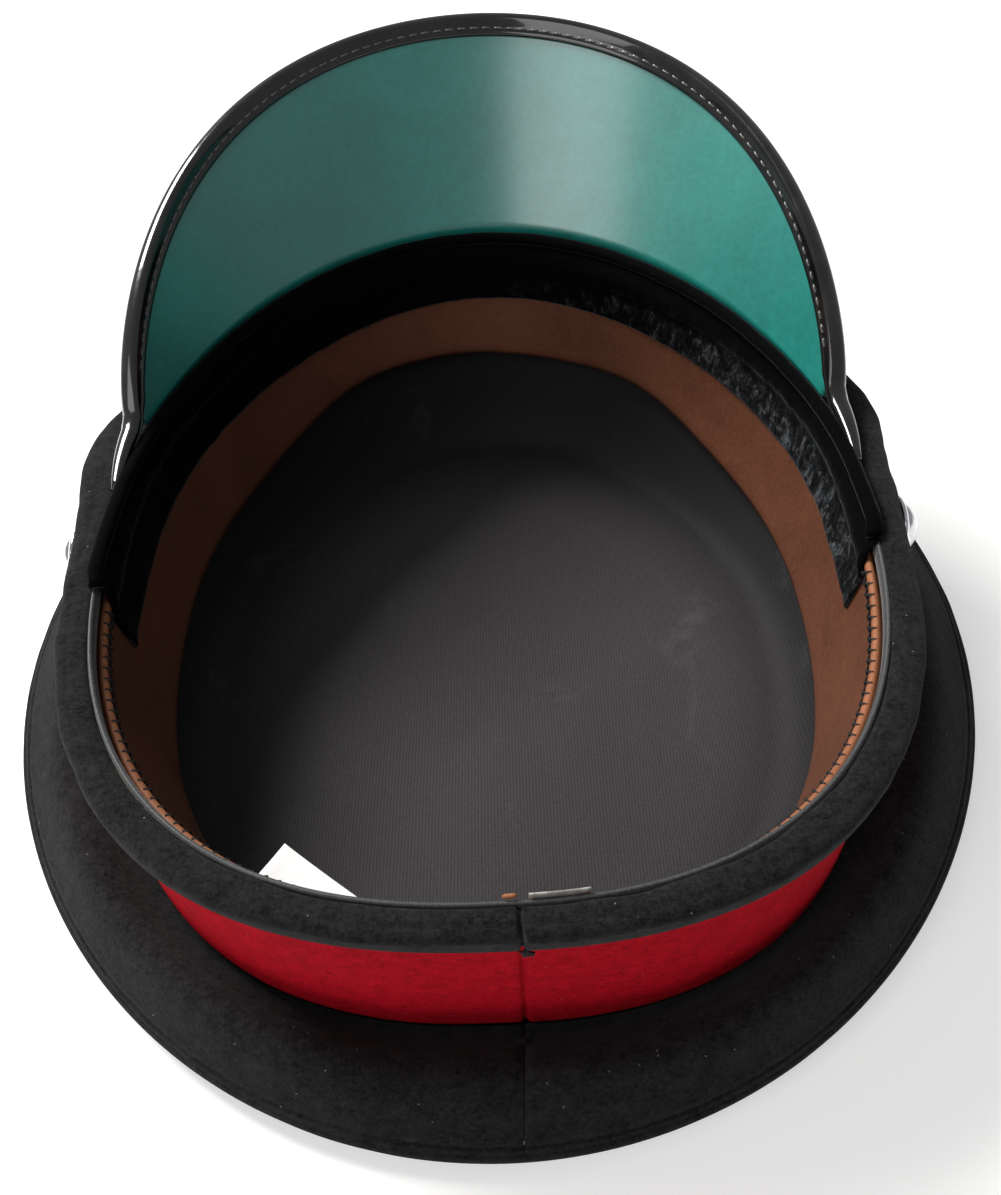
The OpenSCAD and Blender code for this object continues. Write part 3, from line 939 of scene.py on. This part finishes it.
def binding_ring(u):
    deep = peak_deep(u)

    def spot(along, h):
        return peak_point(u, 1 + along / deep, h)

    reach = lip_at(u)

    def lap(face):
        """One face of the folded strip, pressed down a little under its stitches."""
        return [
            spot(-reach * share, face * (half + 0.85 - 0.28 * math.exp(-((share - 0.55) / 0.12) ** 2)))
            for share in (0.2, 0.4, 0.55, 0.7, 0.85)
        ]

    ring = [spot(0.05, half + 0.04), spot(0.05, -half - 0.04), spot(-reach, -half - 0.04)]
    ring += [spot(-reach - 0.25, -half - 0.35), spot(-reach, -half - 0.75)]
    ring += lap(-1)[::-1]
    for a in between(-90, 90, 15):
        ring.append(spot(0.15 + 1.85 * cosd(a), (half + 1.15) * sind(a)))
    ring += lap(1)
    ring += [spot(-reach, half + 0.75), spot(-reach - 0.25, half + 0.35), spot(-reach, half + 0.04)]
    return ring


binding_ends = 0.006
binding_steps = [binding_ends + (0.03 - binding_ends) * k / 12 for k in range(12)]
binding_steps = binding_steps + between(0.03, 0.97, 220) + [1 - u for u in binding_steps[::-1]]


def tail_rings(side):
    """The binding's tail: it rolls narrower and runs down between the bead and the rim strip."""
    tip = binding_ring(binding_steps[0] if side > 0 else binding_steps[-1])
    middle = sum(tip, Vector()) / len(tip)
    rings = []
    for share in between(0.12, 1, 9):
        t = peak_start - 11 * share
        t = t if side > 0 else 180 - t
        target = on_wall(t, 1.3 - pressed_in(t) * 0.9 - 1.9 * share ** 1.5, 4.2 - 2.6 * share)
        size = 1 - 0.6 * share ** 1.4
        rings.append([target + (p - middle) * size for p in tip])
    return rings


binding_rings = tail_rings(1)[::-1] + [binding_ring(u) for u in binding_steps] + tail_rings(-1)
binding = loft("peak_edge_binding", binding_rings)
dress(binding, patent_leather, "patent_leather", "cap", "peak_binding")


def edge_length(a, b):
    return (peak_point(a, 1, 0) - peak_point(b, 1, 0)).length


stitch_pitch, stitch_long = 3.4, 2.3
stitches, u, walked = [], 0.035, 0.0
spots = [u]
while u < 0.965:
    u += 0.0004
    walked += edge_length(u - 0.0004, u)
    if walked >= stitch_pitch:
        spots.append(u)
        walked = 0.0
for a, b in zip(spots, spots[1:]):
    b = a + (b - a) * stitch_long / stitch_pitch
    for side in (1, -1):
        laid = []
        for share, rise in ((0, 0.25), (0.15, 0.7), (0.5, 0.82), (0.85, 0.7), (1, 0.25)):
            at = a + (b - a) * share
            laid.append(peak_point(at, 1 - 0.55 * lip_at(at) / peak_deep(at), side * (half + rise)))
        stitches.append(thread(laid, 0.26))
binding_stitches = join("binding_stitches", stitches)
made = Finish("waxed thread", Roughness=0.32, Coat_Weight=0.6, Coat_Roughness=0.15)
wax = made.grain(2200, 3, 0.6)
made.tint(made.ramp(wax, [(0.3, (0.02, 0.019, 0.018)), (0.75, (0.2, 0.19, 0.18))])).relief(wax, 0.05)
waxed_thread = made.material
dress(binding_stitches, waxed_thread, "patent_leather", "cap")

# Side buttons: domed metal shells on a flat back, outside the chin strap,
# each on a brass split pin through strap, cloth and board.
strap_w, strap_t, layer_gap = 12.0, 1.6, 0.1
strap_bend, strap_turn, strap_tab, strap_overlap = 72.0, 68.0, 12.5, 20.0
strap_z = -strip_h - 1.4 - strap_w / 2
strap_front_y = band_l / 2 + cloth + 2.6
strap_side_x = band_w / 2 + cloth + 3.0
front_arc_y = strap_front_y - strap_bend
side_arc_r = (strap_side_x - strap_bend * cosd(strap_turn)) / (1 - cosd(strap_turn))
side_arc_x = strap_side_x - side_arc_r
side_arc_y = front_arc_y + (strap_bend - side_arc_r) * sind(strap_turn)
button_y = side_arc_y - strap_tab
button_x = strap_side_x + strap_t + gap
button_plan = [
    (0.3, 0.02), (3.0, 0.0), (6.6, 0.0), (7.25, 0.12), (7.5, 0.5), (7.45, 0.95), (7.15, 1.2), (6.85, 1.3),
    (6.6, 1.75), (6.0, 2.6), (5.2, 3.5), (4.2, 4.3), (3.0, 4.9), (1.6, 5.25), (0.3, 5.36),
]
silver = metal_finish("button metal", (0.5, 0.5, 0.52), (0.82, 0.82, 0.84), 0.14)
for side, word in ((-1, "left"), (1, "right")):
    rings = []
    for radius, height in button_plan:
        rings.append([
            stand(side * (button_x + height), button_y + radius * cosd(a), strap_z + radius * sind(a))
            for a in between(0, 354, 60)
        ])
    button = loft("dome_button_" + word, rings, fan=True)
    dress(button, silver, "button_metal", "cap", "side_button_" + word)
brass = metal_finish("pin brass", (0.36, 0.24, 0.07), (0.7, 0.52, 0.2), 0.3)
refinish("button_pin_left", brass)
refinish("button_pin_right", brass)

# Chin strap: two halves of patent leather with burnished edges. Each hangs
# on a button pin and passes over the forehead, the right over the left.
def strap_line(layer, out):
    """Points along one half from the button's end, as seen from above. It bows off the band."""
    lift = layer * (strap_t + layer_gap)
    bow = 3.5 if layer else 7.5
    tab = (button_y - 5.9, button_y - 4.5, button_y, side_arc_y - 3)
    line = [(strap_side_x + out, y) for y in tab]
    for a in between(0, strap_turn, 27):
        r = side_arc_r + out + lift * max(0, 1 - (strap_turn - a) / 25) + bow * sind(180 * a / strap_turn)
        line.append((side_arc_x + r * cosd(a), side_arc_y + r * sind(a)))
    for a in between(strap_turn, 90 + strap_overlap, 40)[1:]:
        r = strap_bend + out + lift
        line.append((r * cosd(a), front_arc_y + r * sind(a)))
    return line


strap_edge = [(1, 0.6), (0.93, 0.7), (1, 0.78), (1, 0.85), (0.88, 0.95)]
strap_edge += [(0.65, 1), (0.35, 1), (0.12, 0.94), (0, 0.82)]
strap_plan = [(share, -high) for share, high in strap_edge[::-1]] + [(1, 0), *strap_edge, (0, 0)]


def strap_rings(layer, side):
    """Rings across the strap. Its outer face has a crease pressed in beside each edge."""
    inner, outer = strap_line(layer, 0), strap_line(layer, strap_t)
    rings = []
    last = len(inner) - 1
    for k, ((ix, iy), (ox, oy)) in enumerate(zip(inner, outer)):
        wide = strap_w / 2
        if k == 0:
            wide *= 0.35
        elif k == 1:
            wide *= 0.78
        elif k == last:
            wide *= 0.6
        rings.append([
            stand(side * (ix + (ox - ix) * share), iy + (oy - iy) * share, strap_z + high * wide)
            for share, high in strap_plan
        ])
    return rings


for word, layer, side in (("left", 0, -1), ("right", 1, 1)):
    strap = loft("chin_strap_" + word, strap_rings(layer, side))
    dress(strap, patent_leather, "patent_leather", "strap", "strap_" + word)

# Keepers: narrow loops of the same leather, one near each end of the lap,
# which slide along both layers of the strap.
keeper_at, keeper_span, keeper_wall, keeper_clear = 14.0, 4.0, 0.8, 0.15


def keeper_rings(middle):
    deep = 2 * strap_t + layer_gap + 2 * keeper_clear
    high = strap_w / 2 + keeper_clear
    near, far = strap_bend - keeper_clear, strap_bend - keeper_clear + deep
    corners = ((near, -high, -1, -1), (far, -high, 1, -1), (far, high, 1, 1), (near, high, -1, 1))
    rings = []
    for (r0, z0, out0, up0), (r1, z1, out1, up1) in zip(corners, corners[1:] + corners[:1]):
        for share in (0.0, 0.33, 0.67):
            r, z = r0 + (r1 - r0) * share, z0 + (z1 - z0) * share
            at_corner = share == 0
            sr = out0 if at_corner or out0 == out1 else 0
            sz = up0 if at_corner or up0 == up1 else 0
            corner = 0.75 if at_corner else 1
            ring = []
            for turn, depth in ((-0.5, 0), (-0.5, 0.6), (-0.4, 1), (0, 1.08), (0.4, 1), (0.5, 0.6), (0.5, 0)):
                rr, zz = r + sr * keeper_wall * depth * corner, z + sz * keeper_wall * depth * corner
                angle = middle + turn * keeper_span
                ring.append(stand(rr * cosd(angle), front_arc_y + rr * sind(angle), strap_z + zz))
            rings.append(ring)
    return rings


for word, middle in (("left", 90 + keeper_at), ("right", 90 - keeper_at)):
    keeper = loft("keeper_loop_" + word, keeper_rings(middle), around=True)
    dress(keeper, patent_leather, "patent_leather", word + "_keeper", "keeper_" + word)

# Back seam: the knotted end of black thread below the rim strip, the cut end
# of the tan piping, and the clear slip of the size pocket behind the tape.
knot_parts = []
rng = random.Random(5)
for k in range(4):
    start = on_wall(back_seam + 0.15 + 0.12 * k, cloth + 1.0, -strip_h - 0.2)
    loop = [start]
    for j in range(6):
        aside, back, up = rng.uniform(-1.0, 1.0), rng.uniform(0, 0.9), rng.uniform(-0.5, 0.4)
        loop.append(start + Vector((aside, -0.7 - back, -0.3 * j + up)))
    knot_parts.append(thread(loop, 0.2))
knot = join("seam_thread_knot", knot_parts)
dress(knot, black_thread, "black_wool", "cap")

pocket_plan = ((-3.5, -6.0), (-3.25, 0.2), (-3.3, 0.75), (-3.55, 0.75), (-3.62, 0.2), (-3.85, -6.0))
pocket_rings = []
for t in between(back_seam + 0.8, back_seam + 6.2, 14):
    pocket_rings.append([on_wall(t, out, z) for out, z in pocket_plan])
pocket = loft("size_pocket_slip", pocket_rings)
made = Finish("clear slip", Roughness=0.2, Specular_IOR_Level=0.7, Coat_Weight=0.5)
haze = made.grain(300, 5, 0.6)
made.tint(made.ramp(haze, [(0.35, (0.2, 0.19, 0.17)), (0.7, (0.55, 0.53, 0.48))])).relief(haze, 0.05)
dress(pocket, made.material, "paper", "cap")

reed_end_rings = []
for k in range(6):
    base = on_wall(back_seam - 1.1 + 0.2 * k, reed_out + 0.3, 0.05 * k)
    r = 0.45 if 0 < k < 5 else 0.25
    reed_end_rings.append([base + Vector((0, r * cosd(a), r * sind(a))) for a in between(0, 324, 10)])
reed_end = loft("piping_end", reed_end_rings)
dress(reed_end, tan_reed, "tan_reed", "cap")

# Paper ticket: a blank white card stuck by its back edge to the back of the
# sweatband, a little curled, with one corner standing clear.
ticket_w, ticket_h = 21.0, 8.0
ticket_place = Vector((-43.8, -81.1, 29.5))
ticket_turn = Matrix.Rotation(math.radians(-37), 3, "Z")
for axis in "YX":
    ticket_turn = ticket_turn @ Matrix.Rotation(math.radians(4), 3, axis)


def ticket_point(x, y, up):
    curl = 0.8 * (x / ticket_w - 0.5) ** 2 * 2 + 0.5 * (y / ticket_h) ** 2
    return ticket_turn @ Vector((x, -ticket_h + y, up + curl)) + ticket_place


ticket_rings = []
for y in between(0, ticket_h, 14):
    upper = [ticket_point(x, y, 0.32) for x in between(0, ticket_w, 16)]
    ticket_rings.append(upper + [ticket_point(x, y, 0) for x in between(ticket_w, 0, 16)])
ticket = loft("paper_ticket", ticket_rings)
made = Finish("ticket card", Roughness=0.6)
pulp = made.grain(700, 6, 0.7)
made.tint(made.ramp(pulp, [(0.3, (0.84, 0.84, 0.83)), (0.7, (0.93, 0.93, 0.92))])).relief(pulp, 0.03)
dress(ticket, made.material, "paper", "cap", "paper_tag")

# Table, soft light and camera. The table is pale and plain.
table_mesh = bpy.data.meshes.new("table")
table_mesh.from_pydata([(-4, -4, 0), (4, -4, 0), (4, 4, 0), (-4, 4, 0)], [], [(0, 1, 2, 3)])
table = bpy.data.objects.new("table", table_mesh)
bpy.context.scene.collection.objects.link(table)
made = Finish("pale table", Roughness=0.7)
made.tint(made.ramp(made.grain(3, 4, 0.5), [(0.3, (0.66, 0.66, 0.65)), (0.7, (0.7, 0.7, 0.69))]))
made.shader.inputs["Emission Color"].default_value = (1, 1, 0.99, 1)
made.shader.inputs["Emission Strength"].default_value = 0.45
table.data.materials.append(made.material)

sky = bpy.data.worlds.new("soft room")
bpy.context.scene.world = sky
sky.use_nodes = True
sky.node_tree.nodes["Background"].inputs["Color"].default_value = (0.95, 0.97, 1.0, 1)
sky.node_tree.nodes["Background"].inputs["Strength"].default_value = 0.3


def lamp(name, place, aim, size, watts, colour=(1, 1, 1)):
    data = bpy.data.lights.new(name, "AREA")
    data.shape, data.size, data.energy, data.color = "SQUARE", size, watts, colour
    made = bpy.data.objects.new(name, data)
    made.location = place
    made.rotation_mode = "QUATERNION"
    made.rotation_quaternion = (Vector(aim) - Vector(place)).to_track_quat("-Z", "Y")
    bpy.context.scene.collection.objects.link(made)


lamp("window", (-0.78, 0.62, 1.10), (0, 0, 0.05), 0.55, 34, (1.0, 0.99, 0.97))
lamp("room", (-0.90, -0.95, 0.95), (0, 0, 0.05), 1.1, 9)
bpy.context.scene.view_settings.view_transform = "Standard"

camera_data = bpy.data.cameras.new("camera")
camera_data.sensor_width = 36
camera_data.lens = 31.285356
camera_data.clip_start = 0.01
camera = bpy.data.objects.new("camera", camera_data)
eye, heading, tilt, roll = (0.0060, -0.1950, 0.2199), 0.020, 0.767, -0.053
turn = Matrix.Rotation(heading, 4, "Z") @ Matrix.Rotation(tilt, 4, "X") @ Matrix.Rotation(roll, 4, "Z")
camera.matrix_world = Matrix.Translation(eye) @ turn
bpy.context.scene.collection.objects.link(camera)
bpy.context.scene.camera = camera
